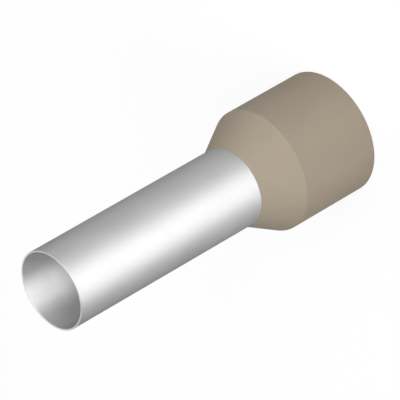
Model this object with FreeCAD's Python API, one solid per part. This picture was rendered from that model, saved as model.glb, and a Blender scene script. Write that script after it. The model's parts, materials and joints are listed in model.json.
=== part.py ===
import FreeCAD, Part
import math
import os

# Insulated wire ferrule for a stranded conductor of 35 square millimetres, in two pieces.
# The sleeve is a thin drawn copper tube, tinned all over. It takes the stripped strands and is
# crimped on them. The moulded plastic collar holds the sleeve's rear end in its front bore, and its
# wide rear skirt takes the end of the wire's insulation.
# The sleeve's rear end is belled out inside the collar. The bell seats in a recess of the collar,
# which it can't be pulled out of, and together they make the funnel that gathers the strands.
#
# The ferrule stands on the collar's rear face. Lengths are in millimetres. The origin is on the
# axis in that face, and +Z runs along the axis to the sleeve's front mouth.

# Sleeve
BARREL_LENGTH = 25.0
SLEEVE_BORE = 8.3
SLEEVE_WALL = 0.2
BELL_SLANT_LENGTH = 2.0
BELL_BEND_RADIUS = 0.8
MOUTH_OUTER_ROUND = 0.06
MOUTH_INNER_ROUND = 0.06

# Collar
COLLAR_LENGTH = 14.0
COLLAR_BORE = 12.7
COLLAR_WALL = 0.4
CONE_LENGTH = 4.15
FRONT_LIP = 0.06
GRIP_LENGTH = 1.5
RIM_COVER = 0.06
SHOULDER_ROUND = 0.2
THROAT_ROUND = 0.8
REAR_OUTER_ROUND = 0.1
REAR_INNER_ROUND = 0.15

# Radii and heights that follow from them
SLEEVE_INNER_RADIUS = SLEEVE_BORE / 2
SLEEVE_RADIUS = SLEEVE_INNER_RADIUS + SLEEVE_WALL
COLLAR_INNER_RADIUS = COLLAR_BORE / 2
COLLAR_RADIUS = COLLAR_INNER_RADIUS + COLLAR_WALL
LIP_RADIUS = SLEEVE_RADIUS + FRONT_LIP
OVERALL_LENGTH = COLLAR_LENGTH + BARREL_LENGTH
SHOULDER_HEIGHT = COLLAR_LENGTH - CONE_LENGTH
BELL_HEIGHT = COLLAR_LENGTH - GRIP_LENGTH

# The bell and the funnel run parallel to the collar's outer cone, this far off the axis
CONE_ANGLE = math.atan2(COLLAR_RADIUS - LIP_RADIUS, CONE_LENGTH)


def corner(radius, height, rounding=0.0):
    """A corner of a half section, with the radius of the arc that rounds it."""
    return (FreeCAD.Vector(radius, 0, height), rounding)


def beside_bell(distance, slant_length):
    """Radius and height of the point inside the bell, or the funnel, at that distance from the bell's
    outer face and that slant length from its bend."""
    radius = SLEEVE_RADIUS + slant_length * math.sin(CONE_ANGLE) - distance * math.cos(CONE_ANGLE)
    height = BELL_HEIGHT - slant_length * math.cos(CONE_ANGLE) - distance * math.sin(CONE_ANGLE)
    return radius, height


def rounded_outline(corners):
    """A closed outline through the corners. Each arc keeps to under half of its shorter side."""
    points = [place for place, rounding in corners]
    trims = []
    for index, (here, rounding) in enumerate(corners):
        to_last = points[index - 1] - here
        to_next = points[(index + 1) % len(points)] - here
        longest_trim = 0.45 * min(to_last.Length, to_next.Length)
        half_angle = to_last.getAngle(to_next) / 2
        trim = min(rounding / math.tan(half_angle), longest_trim)
        radius = trim * math.tan(half_angle)
        to_last.normalize()
        to_next.normalize()
        to_middle = (to_last + to_next).normalize() * (radius / math.sin(half_angle) - radius)
        trims.append((here + to_last * trim, here + to_middle, here + to_next * trim))
    edges = []
    for index, (start, middle, end) in enumerate(trims):
        if corners[index][1] > 0:
            edges.append(Part.Arc(start, middle, end).toShape())
        following_start = trims[(index + 1) % len(trims)][0]
        edges.append(Part.LineSegment(end, following_start).toShape())
    return Part.Wire(edges)


def turned(corners):
    """The solid that a half section sweeps round the axis."""
    section = Part.Face(rounded_outline(corners))
    return section.revolve(FreeCAD.Vector(0, 0, 0), FreeCAD.Vector(0, 0, 1), 360)


def metal_sleeve():
    """The drawn tube, of one wall all along, with its rear end belled out round a bend."""
    inner_bend_height = BELL_HEIGHT - SLEEVE_WALL * math.tan(CONE_ANGLE / 2)
    outer_rim = beside_bell(0, BELL_SLANT_LENGTH)
    inner_rim = beside_bell(SLEEVE_WALL, BELL_SLANT_LENGTH)
    return turned([
        corner(SLEEVE_INNER_RADIUS, OVERALL_LENGTH, MOUTH_INNER_ROUND),
        corner(SLEEVE_RADIUS, OVERALL_LENGTH, MOUTH_OUTER_ROUND),
        corner(SLEEVE_RADIUS, BELL_HEIGHT, BELL_BEND_RADIUS),
        corner(*outer_rim),
        corner(*inner_rim),
        corner(SLEEVE_INNER_RADIUS, inner_bend_height, BELL_BEND_RADIUS + SLEEVE_WALL),
    ])


def plastic_collar():
    """The moulded collar. Its recess takes the bell face to face, and its funnel stands proud of the
    bell by the rim cover, so that no strand catches on the bell's cut edge."""
    funnel_depth = SLEEVE_WALL + RIM_COVER
    recess_corner = beside_bell(0, BELL_SLANT_LENGTH)
    funnel_edge = beside_bell(funnel_depth, BELL_SLANT_LENGTH)
    throat_rise = (COLLAR_INNER_RADIUS - funnel_edge[0]) / math.tan(CONE_ANGLE)
    throat_height = funnel_edge[1] - throat_rise
    return turned([
        corner(SLEEVE_RADIUS, COLLAR_LENGTH),
        corner(LIP_RADIUS, COLLAR_LENGTH),
        corner(COLLAR_RADIUS, SHOULDER_HEIGHT, SHOULDER_ROUND),
        corner(COLLAR_RADIUS, 0, REAR_OUTER_ROUND),
        corner(COLLAR_INNER_RADIUS, 0, REAR_INNER_ROUND),
        corner(COLLAR_INNER_RADIUS, throat_height, THROAT_ROUND),
        corner(*funnel_edge),
        corner(*recess_corner),
        corner(SLEEVE_RADIUS, BELL_HEIGHT, BELL_BEND_RADIUS),
    ])


os.makedirs("parts", exist_ok=True)
metal_sleeve().exportStep("parts/metal_sleeve.step")
plastic_collar().exportStep("parts/plastic_collar.step")
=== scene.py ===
import json
import math

import bpy
from bpy.props import FloatProperty, FloatVectorProperty, IntProperty, PointerProperty
from mathutils import Matrix, Vector


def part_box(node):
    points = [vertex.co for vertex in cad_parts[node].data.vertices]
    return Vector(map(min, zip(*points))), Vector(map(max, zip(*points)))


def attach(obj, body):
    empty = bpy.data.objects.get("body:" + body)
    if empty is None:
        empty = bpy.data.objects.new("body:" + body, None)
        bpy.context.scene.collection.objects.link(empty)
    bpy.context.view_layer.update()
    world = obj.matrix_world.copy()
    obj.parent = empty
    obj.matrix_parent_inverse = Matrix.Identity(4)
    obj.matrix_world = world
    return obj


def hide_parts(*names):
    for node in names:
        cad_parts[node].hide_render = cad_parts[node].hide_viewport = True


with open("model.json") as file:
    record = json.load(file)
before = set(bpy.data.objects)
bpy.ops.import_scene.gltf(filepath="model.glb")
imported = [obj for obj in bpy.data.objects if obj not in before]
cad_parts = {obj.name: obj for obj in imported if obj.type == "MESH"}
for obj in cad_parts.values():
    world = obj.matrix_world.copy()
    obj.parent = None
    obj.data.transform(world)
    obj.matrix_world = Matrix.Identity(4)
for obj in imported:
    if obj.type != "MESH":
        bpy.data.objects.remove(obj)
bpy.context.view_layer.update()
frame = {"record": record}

bl_info = {
    "name": "Wire Ferrule Finish",
    "version": (1, 0, 0),
    "blender": (4, 5, 0),
    "location": "3D View > Sidebar > Ferrule",
    "description": "Turns, finishes and lights the sleeve and the collar of an insulated wire ferrule",
    "category": "Object",
}

MM = 0.001
BODY = "root"

# Turned pieces
SHARP_ANGLE = math.radians(30)          # an edge under it is smooth
MERGE_DISTANCE = 0.0005 * MM            # points as near as this are one
INWARD_FACING = -0.1 * MM               # a face looks inwards if its normal times its radius is under it
LEVEL_FACING = 0.8                      # a face lies level, as at the cut mouth, if its normal is over it
LARGEST_FACES_WEIGHT = 100              # the largest faces alone set the normals

# Patterns of the finishes: their sizes, how far they are stretched along X, Y and Z, and their relief
RING_SIZE, RING_STRETCH = 0.09 * MM, (60, 60, 1)
CLOUD_SIZE, CLOUD_STRETCH = 2.5 * MM, (1, 1, 2)
PLATE_SIZE = 0.06 * MM
SKIN_SIZE = 0.16 * MM
FLOW_SIZE, FLOW_STRETCH = 3 * MM, (1, 1, 1.6)
TIN_RELIEF = 0.0004 * MM
SKIN_RELIEF = 0.02 * MM

# What each pattern adds to the roughness at its lowest and highest, and its share of the tone
RING_ROUGHNESS = (-0.04, 0.02)
CLOUD_ROUGHNESS = (-0.01, 0.03)
SKIN_ROUGHNESS = (-0.06, 0.06)
INNER_CLOUD_SHARE = 0.25
FLOW_SHARE, SKIN_SHARE = 0.7, 0.3

NOISE_LOW, NOISE_HIGH = 0.3, 0.7        # the range that most of a noise's values keep to
PAINTED_SHADE_DEPTH = 3 * MM                     # how far below the mouth the inner tin's colour is painted darker, as painted shade in the bore
LEVEL_RINGS = 0.25                      # the shader's turn of the highlight at which the rings are level

# Camera
PHOTO_SIDE = 400                        # pixels
SENSOR_WIDTH = 36                       # millimetres
CLIP_START = 0.01                       # metres

# Lamps: name, azimuth and elevation in degrees, width and height in metres, and how many times as bright as
# white. An azimuth of 0 is the camera's side, -Y, and 90 is +X.
LAMP_DISTANCE = 0.5
SOFTBOXES = (
    ("key_softbox", -12.4, 42.8, 0.615, 0.276, 5.5),
    ("top_softbox", 75.4, 74.3, 0.35, 0.35, 2.77),
    ("back_softbox", 181, 32, 0.12, 0.4, 1.4),
)
WORLD_GREY = 0.13

FLOOR_RADIUS, FLOOR_SIDES = 3.0, 64
FLOOR_ROUGHNESS = 0.9
FLOOR_LIFT = 0.88                       # how far the floor is lifted to white where it is seen


def mount_radius(name):
    """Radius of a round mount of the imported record, in metres."""
    mount = next(m for m in frame["record"]["mounts"] if m["name"] == name)
    return mount["dims"]["r_mm"] * MM


SLEEVE_LOW, SLEEVE_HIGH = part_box("metal_sleeve")
COLLAR_LOW, COLLAR_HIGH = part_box("plastic_collar")


# Settings

class FerruleShape(bpy.types.PropertyGroup):
    """Sizes of the two pieces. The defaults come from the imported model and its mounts."""

    length: FloatProperty(
        name="Overall Length", description="From the collar's rear face to the sleeve's mouth",
        default=SLEEVE_HIGH.z, unit="LENGTH", precision=5)
    collar_length: FloatProperty(
        name="Collar Length", description="From the collar's rear face to its front lip",
        default=COLLAR_HIGH.z, unit="LENGTH", precision=5)
    collar_radius: FloatProperty(
        name="Collar Radius", description="Outside radius of the collar's skirt",
        default=COLLAR_HIGH.x, unit="LENGTH", precision=5)
    skirt_bore: FloatProperty(
        name="Skirt Bore Radius", description="Inside radius of the skirt that takes the insulation",
        default=mount_radius("insulation_bore"), unit="LENGTH", precision=5)
    sleeve_radius: FloatProperty(
        name="Sleeve Radius", description="Outside radius of the drawn tube",
        default=mount_radius("crimp_barrel"), unit="LENGTH", precision=5)
    sleeve_bore: FloatProperty(
        name="Sleeve Bore Radius", description="Inside radius of the drawn tube",
        default=mount_radius("conductor_bore"), unit="LENGTH", precision=5)
    bell_radius: FloatProperty(
        name="Bell Radius", description="Largest radius of the sleeve's belled end",
        default=SLEEVE_HIGH.x, unit="LENGTH", precision=5)
    cone_length: FloatProperty(
        name="Cone Length", description="Length along the axis of the collar's cone",
        default=4.15 * MM, unit="LENGTH", precision=5)
    front_lip: FloatProperty(
        name="Front Lip", description="Radial height of the collar's front edge over the sleeve",
        default=0.06 * MM, unit="LENGTH", precision=5)
    grip_length: FloatProperty(
        name="Grip Length", description="Length of the collar's front bore, down to the bend of the bell",
        default=1.5 * MM, unit="LENGTH", precision=5)
    rim_cover: FloatProperty(
        name="Rim Cover", description="How far the collar's funnel stands proud of the bell",
        default=0.06 * MM, unit="LENGTH", precision=5)
    bend_radius: FloatProperty(
        name="Bend Radius", description="Outside radius of the bend between the tube and its bell",
        default=0.8 * MM, unit="LENGTH", precision=5)
    mouth_round: FloatProperty(
        name="Mouth Round", description="Radius on both edges of the sleeve's mouth",
        default=0.06 * MM, unit="LENGTH", precision=5)
    shoulder_round: FloatProperty(
        name="Shoulder Round", description="Radius on the edge between the collar's cone and skirt",
        default=0.2 * MM, unit="LENGTH", precision=5)
    throat_round: FloatProperty(
        name="Throat Round", description="Radius between the skirt's bore and the funnel",
        default=0.8 * MM, unit="LENGTH", precision=5)
    rear_outer_round: FloatProperty(
        name="Rear Outer Round", description="Radius on the outer edge of the collar's rear face",
        default=0.1 * MM, unit="LENGTH", precision=5)
    rear_inner_round: FloatProperty(
        name="Rear Inner Round", description="Radius on the inner edge of the collar's rear face",
        default=0.15 * MM, unit="LENGTH", precision=5)
    segments: IntProperty(
        name="Segments", description="Facets round each turned piece", default=256, min=32, max=1024)
    arc_steps: IntProperty(
        name="Arc Steps", description="Facets across each rounded edge", default=8, min=2, max=32)

    def cone_angle(self):
        """Angle between the axis and the cone, which the bell and the funnel share."""
        lip_radius = self.sleeve_radius + self.front_lip
        return math.atan2(self.collar_radius - lip_radius, self.cone_length)

    def beside_bell(self, distance):
        """Radius and height of the point level with the bell's cut edge, at that distance inside it."""
        angle = self.cone_angle()
        slant_length = (self.bell_radius - self.sleeve_radius) / math.sin(angle)
        bell_height = self.collar_length - self.grip_length
        radius = self.bell_radius - distance * math.cos(angle)
        height = bell_height - slant_length * math.cos(angle) - distance * math.sin(angle)
        return radius, height


class FerruleFinish(bpy.types.PropertyGroup):
    """Colours and surface values of the tin plate and the collar's plastic."""

    tin_colour: FloatVectorProperty(
        name="Tin Colour", description="Colour of the bright tin plate", subtype="COLOR",
        default=(0.862, 0.862, 0.862), min=0, max=1)
    tin_roughness: FloatProperty(
        name="Tin Roughness", description="Roughness of the tin plate", default=0.76, min=0, max=1)
    cut_colour: FloatVectorProperty(
        name="Cut Colour", description="Colour of the tube's cut mouth", subtype="COLOR",
        default=(0.84, 0.84, 0.84), min=0, max=1)
    cut_roughness: FloatProperty(
        name="Cut Roughness", description="Roughness of the tube's cut mouth",
        default=0.6, min=0, max=1)
    inner_colour: FloatVectorProperty(
        name="Inner Colour", description="Colour of the dull tin inside the tube", subtype="COLOR",
        default=(0.95, 0.95, 0.95), min=0, max=1)
    inner_roughness: FloatProperty(
        name="Inner Roughness", description="Roughness of the dull tin inside the tube",
        default=0.75, min=0, max=1)
    plastic_colour: FloatVectorProperty(
        name="Plastic Colour", description="Colour of the moulded collar", subtype="COLOR",
        default=(0.322, 0.273, 0.211), min=0, max=1)
    plastic_roughness: FloatProperty(
        name="Plastic Roughness", description="Roughness of the moulded collar",
        default=0.83, min=0, max=1)


class FerruleStage(bpy.types.PropertyGroup):
    """The camera, which is fitted to the photograph, and the studio round the ferrule."""

    camera_elevation: FloatProperty(
        name="Camera Elevation", description="Height of the camera above the horizon",
        default=math.radians(34.80), subtype="ANGLE")
    camera_roll: FloatProperty(
        name="Camera Roll", description="Turn of the camera about its own line of sight",
        default=math.radians(-119.93), subtype="ANGLE")
    mouth_distance: FloatProperty(
        name="Mouth Distance", description="Distance from the camera to the plane of the mouth's centre",
        default=0.4661, unit="LENGTH")
    mouth_pixel: FloatVectorProperty(
        name="Mouth Pixel", description="Where the mouth's centre shows in the photograph, in pixels",
        size=2, default=(51.37, 290.73))
    focal_pixels: FloatProperty(
        name="Focal Length", description="Focal length of the photograph, in its own pixels",
        default=4737.8)
    floor_colour: FloatVectorProperty(
        name="Floor Colour", description="Colour that the floor throws back on the ferrule",
        subtype="COLOR", default=(0.81, 0.81, 0.81), min=0, max=1)
    seen_floor_colour: FloatVectorProperty(
        name="Seen Floor Colour", description="Colour of the floor to the camera and in reflections",
        subtype="COLOR", default=(0.91, 0.91, 0.91), min=0, max=1)


# Turned pieces

def turned_tree():
    """The node tree that turns a half section round Z. Each corner's radius says how it is rounded."""
    tree = bpy.data.node_groups.new("turned_piece", "GeometryNodeTree")
    socket = tree.interface.new_socket
    socket("Half Section", in_out="INPUT", socket_type="NodeSocketGeometry")
    socket("Segments", in_out="INPUT", socket_type="NodeSocketInt")
    socket("Arc Steps", in_out="INPUT", socket_type="NodeSocketInt")
    socket("Outer Finish", in_out="INPUT", socket_type="NodeSocketMaterial")
    socket("Inner Finish", in_out="INPUT", socket_type="NodeSocketMaterial")
    socket("Edge Finish", in_out="INPUT", socket_type="NodeSocketMaterial")
    socket("Piece", in_out="OUTPUT", socket_type="NodeSocketGeometry")

    def node(kind, **values):
        made = tree.nodes.new(kind)
        for name, value in values.items():
            setattr(made, name, value)
        return made

    def link(output, inputs):
        tree.links.new(output, inputs)

    def whole(operation, first, second):
        made = node("FunctionNodeIntegerMath", operation=operation)
        for value, target in ((first, made.inputs[0]), (second, made.inputs[1])):
            if isinstance(value, int):
                target.default_value = value
            else:
                link(value, target)
        return made.outputs[0]

    def finished(geometry, finish, selection=None):
        made = node("GeometryNodeSetMaterial")
        link(geometry, made.inputs["Geometry"])
        link(finish, made.inputs["Material"])
        if selection is not None:
            link(selection, made.inputs["Selection"])
        return made.outputs[0]

    # The half section with its corners rounded
    given = node("NodeGroupInput").outputs
    fillet = node("GeometryNodeFilletCurve", mode="POLY")
    fillet.inputs["Limit Radius"].default_value = True
    link(given["Half Section"], fillet.inputs["Curve"])
    link(given["Arc Steps"], fillet.inputs["Count"])
    link(node("GeometryNodeInputRadius").outputs[0], fillet.inputs["Radius"])
    size = node("GeometryNodeAttributeDomainSize", component="CURVE")
    link(fillet.outputs[0], size.inputs[0])

    # A grid with a row for each of its points and a column for each turn, and one more of both to close it
    points = size.outputs["Point Count"]
    rows = whole("ADD", points, 1)
    columns = whole("ADD", given["Segments"], 1)
    grid = node("GeometryNodeMeshGrid")
    link(rows, grid.inputs["Vertices X"])
    link(columns, grid.inputs["Vertices Y"])
    index = node("GeometryNodeInputIndex").outputs[0]
    row = whole("MODULO", whole("DIVIDE_FLOOR", index, columns), points)
    column = whole("MODULO", index, columns)

    # Each point of the section, carried round the axis by its column
    sample = node("GeometryNodeSampleIndex", data_type="FLOAT_VECTOR")
    link(fillet.outputs[0], sample.inputs["Geometry"])
    link(node("GeometryNodeInputPosition").outputs[0], sample.inputs["Value"])
    link(row, sample.inputs["Index"])
    turn = node("ShaderNodeMath", operation="DIVIDE")
    link(column, turn.inputs[0])
    link(given["Segments"], turn.inputs[1])
    angle = node("ShaderNodeMath", operation="MULTIPLY")
    angle.inputs[1].default_value = math.tau
    link(turn.outputs[0], angle.inputs[0])
    rotate = node("ShaderNodeVectorRotate", rotation_type="Z_AXIS")
    link(sample.outputs[0], rotate.inputs["Vector"])
    link(angle.outputs[0], rotate.inputs["Angle"])

    place = node("GeometryNodeSetPosition")
    link(grid.outputs["Mesh"], place.inputs["Geometry"])
    link(rotate.outputs[0], place.inputs["Position"])

    # One closed surface, smooth but for its sharp edges
    merge = node("GeometryNodeMergeByDistance")
    merge.inputs["Distance"].default_value = MERGE_DISTANCE
    link(place.outputs[0], merge.inputs["Geometry"])
    smooth = node("GeometryNodeSetShadeSmooth")
    link(merge.outputs[0], smooth.inputs["Geometry"])
    soft = node("FunctionNodeCompare", operation="LESS_THAN")
    soft.inputs["B"].default_value = SHARP_ANGLE
    link(node("GeometryNodeInputMeshEdgeAngle").outputs["Unsigned Angle"], soft.inputs["A"])
    edges = node("GeometryNodeSetShadeSmooth", domain="EDGE")
    link(smooth.outputs[0], edges.inputs["Geometry"])
    link(soft.outputs[0], edges.inputs["Shade Smooth"])
    realize = node("GeometryNodeRealizeInstances")
    link(edges.outputs[0], realize.inputs[0])

    # The finish of each face, by the way it looks
    outward = node("ShaderNodeVectorMath", operation="MULTIPLY")
    outward.inputs[1].default_value = (1, 1, 0)
    link(node("GeometryNodeInputPosition").outputs[0], outward.inputs[0])
    facing = node("ShaderNodeVectorMath", operation="DOT_PRODUCT")
    link(outward.outputs[0], facing.inputs[0])
    link(node("GeometryNodeInputNormal").outputs[0], facing.inputs[1])
    inward = node("FunctionNodeCompare", operation="LESS_THAN")
    inward.inputs["B"].default_value = INWARD_FACING
    link(facing.outputs["Value"], inward.inputs["A"])
    facing_up = node("ShaderNodeSeparateXYZ")
    link(node("GeometryNodeInputNormal").outputs[0], facing_up.inputs[0])
    level = node("FunctionNodeCompare", operation="GREATER_THAN")
    level.inputs["B"].default_value = LEVEL_FACING
    link(facing_up.outputs["Z"], level.inputs["A"])
    outside = finished(realize.outputs[0], given["Outer Finish"])
    inside = finished(outside, given["Inner Finish"], inward.outputs[0])
    piece = finished(inside, given["Edge Finish"], level.outputs[0])
    link(piece, node("NodeGroupOutput").inputs["Piece"])
    return tree


def half_section(name, corners):
    """A closed curve in the XZ plane through (radius, height, round) corners."""
    curve = bpy.data.curves.new(name, "CURVE")
    curve.dimensions = "3D"
    spline = curve.splines.new("POLY")
    spline.points.add(len(corners) - 1)
    spline.use_cyclic_u = True
    for point, (radius, height, rounding) in zip(spline.points, corners):
        point.co = (radius, 0, height, 1)
        point.radius = rounding
    section = bpy.data.objects.new(name + "_section", curve)
    bpy.context.scene.collection.objects.link(section)
    return section


def plain_mesh(thing, name):
    """The mesh of an object with its modifiers applied."""
    evaluated = thing.evaluated_get(bpy.context.evaluated_depsgraph_get())
    mesh = bpy.data.meshes.new_from_object(evaluated)
    mesh.name = name
    return mesh


def turned_piece(name, corners, shape, outer_finish, inner_finish, edge_finish):
    """The plain mesh of a piece of revolution. Faces that look towards the axis get the inner finish, and
    those that look up along it the edge finish."""
    section = half_section(name, corners)
    modifier = section.modifiers.new("Turned Piece", "NODES")
    modifier.node_group = turned_tree()
    values = {"Segments": shape.segments, "Arc Steps": shape.arc_steps,
              "Outer Finish": outer_finish, "Inner Finish": inner_finish, "Edge Finish": edge_finish}
    for item in modifier.node_group.interface.items_tree:
        if item.in_out == "INPUT" and item.name in values:
            modifier[item.identifier] = values[item.name]
    turned = plain_mesh(section, name + "_turned")
    bpy.data.objects.remove(section)
    if turned.materials[0] is None:     # the curve's own slot, which no face uses
        turned.materials.pop(index=0)
    piece = bpy.data.objects.new(name, turned)
    bpy.context.scene.collection.objects.link(piece)
    weighted = piece.modifiers.new("Weighted Normal", "WEIGHTED_NORMAL")
    weighted.weight = LARGEST_FACES_WEIGHT
    weighted.keep_sharp = True
    finished = plain_mesh(piece, name)
    piece.modifiers.remove(weighted)
    piece.data = finished
    bpy.data.meshes.remove(turned)
    return piece


class FERRULE_OT_sleeve(bpy.types.Operator):
    """Turn the drawn tube with its belled end, and plate it with tin"""

    bl_idname = "ferrule.sleeve"
    bl_label = "Tinned Sleeve"

    def execute(self, context):
        shape = context.scene.ferrule_shape
        wall = shape.sleeve_radius - shape.sleeve_bore
        bend_height = shape.collar_length - shape.grip_length
        inner_bend_height = bend_height - wall * math.tan(shape.cone_angle() / 2)
        corners = [
            (shape.sleeve_bore, shape.length, shape.mouth_round),
            (shape.sleeve_radius, shape.length, shape.mouth_round),
            (shape.sleeve_radius, bend_height, shape.bend_radius),
            (*shape.beside_bell(0), 0),
            (*shape.beside_bell(wall), 0),
            (shape.sleeve_bore, inner_bend_height, shape.bend_radius + wall),
        ]
        finish = context.scene.ferrule_finish
        piece = turned_piece("tinned_sleeve", corners, shape,
                             tin_plate(finish), dull_tin_and_painted_shade(finish, shape.length), cut_tin(finish))
        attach(piece, BODY)
        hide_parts("metal_sleeve")
        return {"FINISHED"}


class FERRULE_OT_collar(bpy.types.Operator):
    """Turn the moulded collar with its skirt, cone, grip and funnel"""

    bl_idname = "ferrule.collar"
    bl_label = "Moulded Collar"

    def execute(self, context):
        shape = context.scene.ferrule_shape
        wall = shape.sleeve_radius - shape.sleeve_bore
        funnel_edge = shape.beside_bell(wall + shape.rim_cover)
        throat_drop = (shape.skirt_bore - funnel_edge[0]) / math.tan(shape.cone_angle())
        corners = [
            (shape.sleeve_radius, shape.collar_length, 0),
            (shape.sleeve_radius + shape.front_lip, shape.collar_length, 0),
            (shape.collar_radius, shape.collar_length - shape.cone_length, shape.shoulder_round),
            (shape.collar_radius, 0, shape.rear_outer_round),
            (shape.skirt_bore, 0, shape.rear_inner_round),
            (shape.skirt_bore, funnel_edge[1] - throat_drop, shape.throat_round),
            (*funnel_edge, 0),
            (*shape.beside_bell(0), 0),
            (shape.sleeve_radius, shape.collar_length - shape.grip_length, shape.bend_radius),
        ]
        plastic = collar_plastic(context.scene.ferrule_finish)
        piece = turned_piece("moulded_collar", corners, shape, plastic, plastic, plastic)
        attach(piece, BODY)
        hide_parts("plastic_collar")
        return {"FINISHED"}


# Materials

def new_material(name):
    """A node material and its Principled shader."""
    material = bpy.data.materials.new(name)
    material.use_nodes = True
    return material, material.node_tree.nodes["Principled BSDF"]


def grain(tree, size, detail=2.0, stretch=(1, 1, 1)):
    """Noise on the piece's own coordinates. Its spots are about that size, times the stretch along each
    axis."""
    place = tree.nodes.new("ShaderNodeTexCoord")
    mapping = tree.nodes.new("ShaderNodeMapping")
    mapping.inputs["Scale"].default_value = [1 / factor for factor in stretch]
    noise = tree.nodes.new("ShaderNodeTexNoise")
    noise.inputs["Scale"].default_value = 1 / size
    noise.inputs["Detail"].default_value = detail
    tree.links.new(place.outputs["Object"], mapping.inputs["Vector"])
    tree.links.new(mapping.outputs["Vector"], noise.inputs["Vector"])
    return noise.outputs["Fac"]


def spread(tree, value, low, high):
    """Stretches the middle of a noise's range over low to high."""
    ranged = tree.nodes.new("ShaderNodeMapRange")
    ranged.inputs["From Min"].default_value = NOISE_LOW
    ranged.inputs["From Max"].default_value = NOISE_HIGH
    ranged.inputs["To Min"].default_value = low
    ranged.inputs["To Max"].default_value = high
    tree.links.new(value, ranged.inputs["Value"])
    return ranged.outputs["Result"]


def total(tree, first, second):
    """The sum of two values."""
    add = tree.nodes.new("ShaderNodeMath")
    tree.links.new(first, add.inputs[0])
    tree.links.new(second, add.inputs[1])
    return add.outputs[0]


def shaded(tree, value, colour, darkest):
    """The colour, darkened towards that share of itself where the value is low."""
    mix = tree.nodes.new("ShaderNodeMix")
    mix.data_type = "RGBA"
    mix.inputs["A"].default_value = (*(channel * darkest for channel in colour), 1)
    mix.inputs["B"].default_value = (*colour, 1)
    tree.links.new(value, mix.inputs["Factor"])
    return mix.outputs["Result"]


def relief(tree, height, depth):
    """A bump of that depth, in metres."""
    bump = tree.nodes.new("ShaderNodeBump")
    bump.inputs["Distance"].default_value = depth
    tree.links.new(height, bump.inputs["Height"])
    return bump.outputs["Normal"]


def height_ramp(tree, low, high, top):
    """Nothing below the low height, the top value above the high one, and a slope between them."""
    place = tree.nodes.new("ShaderNodeTexCoord")
    split = tree.nodes.new("ShaderNodeSeparateXYZ")
    ranged = tree.nodes.new("ShaderNodeMapRange")
    ranged.inputs["From Min"].default_value = low
    ranged.inputs["From Max"].default_value = high
    ranged.inputs["To Max"].default_value = top
    tree.links.new(place.outputs["Object"], split.inputs[0])
    tree.links.new(split.outputs["Z"], ranged.inputs["Value"])
    return ranged.outputs["Result"]


def tin_surface(name, colour, roughness, darkest=0.96, shade_top_height=None):
    """Satin tin: fine rings of the tube's polishing under the plate, soft clouds and the plate's own grain.
    With a shade top height, the colour is painted darker over the depth below it, as painted shade inside
    the bore."""
    material, shader = new_material(name)
    tree = material.node_tree
    rings = grain(tree, RING_SIZE, stretch=RING_STRETCH)
    clouds = grain(tree, CLOUD_SIZE, detail=3, stretch=CLOUD_STRETCH)
    plate = grain(tree, PLATE_SIZE, detail=1)
    if shade_top_height is None:
        tone = spread(tree, clouds, 0, 1)
    else:
        # painted shade: the tin's colour is darker over the depth below the mouth
        painted_depth_shade = height_ramp(tree, shade_top_height - PAINTED_SHADE_DEPTH, shade_top_height, 1 - INNER_CLOUD_SHARE)
        tone = total(tree, spread(tree, clouds, 0, INNER_CLOUD_SHARE), painted_depth_shade)
    smoothest, roughest = (roughness + change for change in RING_ROUGHNESS)
    rough = total(tree, spread(tree, rings, smoothest, roughest), spread(tree, clouds, *CLOUD_ROUGHNESS))
    link = tree.links.new
    link(shaded(tree, tone, colour, darkest), shader.inputs["Base Color"])
    link(rough, shader.inputs["Roughness"])
    link(relief(tree, total(tree, rings, plate), TIN_RELIEF), shader.inputs["Normal"])
    return material, shader


def ring_sheen(shader, drawn_out, climb, grazing):
    """The sheen of polished rings: how far they draw a highlight out, how far they climb round the tube, in
    degrees, and the grey of the tin at a low angle of view."""
    shader.inputs["Anisotropic"].default_value = drawn_out
    shader.inputs["Anisotropic Rotation"].default_value = LEVEL_RINGS - climb / 360
    shader.inputs["Specular Tint"].default_value = (grazing, grazing, grazing, 1)


def tin_plate(finish):
    """Bright tin plate on the outside of the tube."""
    material, shader = tin_surface("tin_plate", finish.tin_colour, finish.tin_roughness)
    shader.inputs["Metallic"].default_value = 1
    ring_sheen(shader, drawn_out=0.825, climb=6.3, grazing=0.07)
    return material


def cut_tin(finish):
    """The tube's cut mouth, which lies along its rings and shows none."""
    material, shader = tin_surface("cut_tin", finish.cut_colour, finish.cut_roughness)
    shader.inputs["Metallic"].default_value = 1
    return material


def dull_tin_and_painted_shade(finish, mouth_height):
    """The same plate inside the tube, where nothing has burnished it. Its colour is painted darker deeper
    below the mouth, as painted shade.
    """
    # the darkest share covers the random clouds and the painted shade deep in the bore
    material, shader = tin_surface(
        "dull_tin_and_painted_shade", finish.inner_colour, finish.inner_roughness, darkest=0.765, shade_top_height=mouth_height)
    shader.inputs["Metallic"].default_value = 0.907
    ring_sheen(shader, drawn_out=0.89, climb=2.304, grazing=0.03)
    return material


def collar_plastic(finish):
    """Greige plastic with the fine matte skin of its mould, and faint clouds where it flowed."""
    material, shader = new_material("greige_plastic")
    tree = material.node_tree
    skin = grain(tree, SKIN_SIZE, detail=3)
    flow = grain(tree, FLOW_SIZE, detail=3, stretch=FLOW_STRETCH)
    tone = total(tree, spread(tree, flow, 0, FLOW_SHARE), spread(tree, skin, 0, SKIN_SHARE))
    smoothest, roughest = (finish.plastic_roughness + change for change in SKIN_ROUGHNESS)
    link = tree.links.new
    link(shaded(tree, tone, finish.plastic_colour, darkest=0.93), shader.inputs["Base Color"])
    link(spread(tree, skin, smoothest, roughest), shader.inputs["Roughness"])
    link(relief(tree, skin, SKIN_RELIEF), shader.inputs["Normal"])
    shader.inputs["Specular IOR Level"].default_value = 0.17
    return material


# Stage

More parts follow.
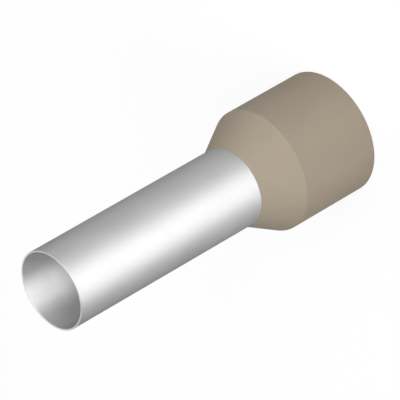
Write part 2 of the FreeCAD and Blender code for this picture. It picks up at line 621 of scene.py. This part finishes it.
def seen_rays(tree):
    """One for camera, glossy and transmission rays, and nothing for the light off the floor."""
    nodes, links = tree.nodes, tree.links
    path = nodes.new("ShaderNodeLightPath")
    seen = nodes.new("ShaderNodeMath")
    seen.operation = "MAXIMUM"
    links.new(path.outputs["Is Camera Ray"], seen.inputs[0])
    links.new(path.outputs["Is Glossy Ray"], seen.inputs[1])
    through = nodes.new("ShaderNodeMath")
    through.operation = "MAXIMUM"
    links.new(seen.outputs[0], through.inputs[0])
    links.new(path.outputs["Is Transmission Ray"], through.inputs[1])
    return through.outputs[0]


def seen_white(tree, lit_shader, seen, share):
    """The shader, lifted by that share towards white of strength 1 for the seen rays."""
    nodes, links = tree.nodes, tree.links
    amount = nodes.new("ShaderNodeMath")
    amount.operation = "MULTIPLY"
    amount.inputs[1].default_value = share
    links.new(seen, amount.inputs[0])
    white = nodes.new("ShaderNodeEmission")
    mix = nodes.new("ShaderNodeMixShader")
    links.new(amount.outputs[0], mix.inputs[0])
    links.new(lit_shader, mix.inputs[1])
    links.new(white.outputs[0], mix.inputs[2])
    return mix.outputs[0]


def softbox(name, azimuth, elevation, width, height, brightness, aim):
    """A rectangular lamp turned to the aim, whose face is that many times as bright as white."""
    lamp = bpy.data.lights.new(name, "AREA")
    lamp.shape = "RECTANGLE"
    lamp.size = width
    lamp.size_y = height
    lamp.energy = brightness * math.pi * width * height
    holder = bpy.data.objects.new(name, lamp)
    bpy.context.scene.collection.objects.link(holder)
    turn, rise = math.radians(azimuth), math.radians(elevation)
    away = Vector((math.sin(turn) * math.cos(rise), -math.cos(turn) * math.cos(rise), math.sin(rise)))
    holder.location = aim + away * LAMP_DISTANCE
    holder.rotation_mode = "QUATERNION"
    holder.rotation_quaternion = away.to_track_quat("Z", "Y")


class FERRULE_OT_stage(bpy.types.Operator):
    """Set the camera of the photograph, the pale floor and the soft lamps"""

    bl_idname = "ferrule.stage"
    bl_label = "Studio Stage"

    def execute(self, context):
        shape, stage = context.scene.ferrule_shape, context.scene.ferrule_stage
        self.place_camera(context, shape, stage)
        self.lay_floor(context, stage)
        self.light(context, shape)
        return {"FINISHED"}

    def place_camera(self, context, shape, stage):
        """The camera's own axes come from its elevation and roll, and its place from the mouth's pixel."""
        rise, roll = stage.camera_elevation, stage.camera_roll
        back = Vector((0, -math.cos(rise), math.sin(rise)))
        level_up = Vector((0, math.sin(rise), math.cos(rise)))
        level_right = Vector((1, 0, 0))
        right = level_right * math.cos(roll) + level_up * math.sin(roll)
        up = level_up * math.cos(roll) - level_right * math.sin(roll)
        metres_per_pixel = stage.mouth_distance / stage.focal_pixels
        across = (stage.mouth_pixel[0] - PHOTO_SIDE / 2) * metres_per_pixel
        upward = (PHOTO_SIDE / 2 - stage.mouth_pixel[1]) * metres_per_pixel
        mouth = Vector((0, 0, shape.length))
        camera = bpy.data.cameras.new("photo_camera")
        camera.sensor_width = SENSOR_WIDTH
        camera.lens = stage.focal_pixels * SENSOR_WIDTH / PHOTO_SIDE
        camera.clip_start = CLIP_START
        holder = bpy.data.objects.new("photo_camera", camera)
        context.scene.collection.objects.link(holder)
        holder.matrix_world = Matrix.LocRotScale(
            mouth - right * across - up * upward + back * stage.mouth_distance,
            Matrix((right, up, back)).transposed(), None)
        context.scene.camera = holder

    def lay_floor(self, context, stage):
        """A round floor, white to the camera and in reflections, that keeps the ferrule's shadow."""
        mesh = bpy.data.meshes.new("floor")
        turns = [math.tau * side / FLOOR_SIDES for side in range(FLOOR_SIDES)]
        rim = [(FLOOR_RADIUS * math.cos(turn), FLOOR_RADIUS * math.sin(turn), 0) for turn in turns]
        mesh.from_pydata(rim, [], [list(range(FLOOR_SIDES))])
        material, shader = new_material("floor_paper")
        shader.inputs["Roughness"].default_value = FLOOR_ROUGHNESS
        shader.inputs["Specular IOR Level"].default_value = 0
        tree = material.node_tree
        seen = seen_rays(tree)
        paper = tree.nodes.new("ShaderNodeMix")
        paper.data_type = "RGBA"
        paper.inputs["A"].default_value = (*stage.floor_colour, 1)
        paper.inputs["B"].default_value = (*stage.seen_floor_colour, 1)
        tree.links.new(seen, paper.inputs["Factor"])
        tree.links.new(paper.outputs["Result"], shader.inputs["Base Color"])
        output = tree.nodes["Material Output"]
        tree.links.new(seen_white(tree, shader.outputs[0], seen, FLOOR_LIFT), output.inputs["Surface"])
        mesh.materials.append(material)
        floor = bpy.data.objects.new("floor", mesh)
        context.scene.collection.objects.link(floor)

    def light(self, context, shape):
        """The softboxes, turned to the middle of the ferrule, and a dim even light from all round."""
        aim = Vector((0, 0, shape.length / 2))
        for lamp in SOFTBOXES:
            softbox(*lamp, aim)
        world = bpy.data.worlds.new("studio")
        context.scene.world = world
        world.use_nodes = True
        background = world.node_tree.nodes["Background"]
        background.inputs["Color"].default_value = (WORLD_GREY, WORLD_GREY, WORLD_GREY, 1)
        context.scene.view_settings.view_transform = "Standard"


class FERRULE_PT_panel(bpy.types.Panel):
    """Lists the ferrule's pieces and their settings in the 3D view's sidebar"""

    bl_idname = "FERRULE_PT_panel"
    bl_label = "Wire Ferrule"
    bl_space_type = "VIEW_3D"
    bl_region_type = "UI"
    bl_category = "Ferrule"

    def draw(self, context):
        layout = self.layout
        for name, group in SETTINGS:
            settings = getattr(context.scene, name)
            box = layout.box()
            for value in group.__annotations__:
                box.prop(settings, value)
        for operator in OPERATORS:
            layout.operator(operator.bl_idname)


SETTINGS = (
    ("ferrule_shape", FerruleShape),
    ("ferrule_finish", FerruleFinish),
    ("ferrule_stage", FerruleStage),
)
OPERATORS = (FERRULE_OT_sleeve, FERRULE_OT_collar, FERRULE_OT_stage)


def register():
    for name, group in SETTINGS:
        bpy.utils.register_class(group)
        setattr(bpy.types.Scene, name, PointerProperty(type=group))
    for operator in OPERATORS:
        bpy.utils.register_class(operator)
    bpy.utils.register_class(FERRULE_PT_panel)


def unregister():
    bpy.utils.unregister_class(FERRULE_PT_panel)
    for operator in reversed(OPERATORS):
        bpy.utils.unregister_class(operator)
    for name, group in reversed(SETTINGS):
        delattr(bpy.types.Scene, name)
        bpy.utils.unregister_class(group)


def main():
    register()
    bpy.ops.ferrule.sleeve()
    bpy.ops.ferrule.collar()
    bpy.ops.ferrule.stage()


if __name__ == "__main__":
    main()
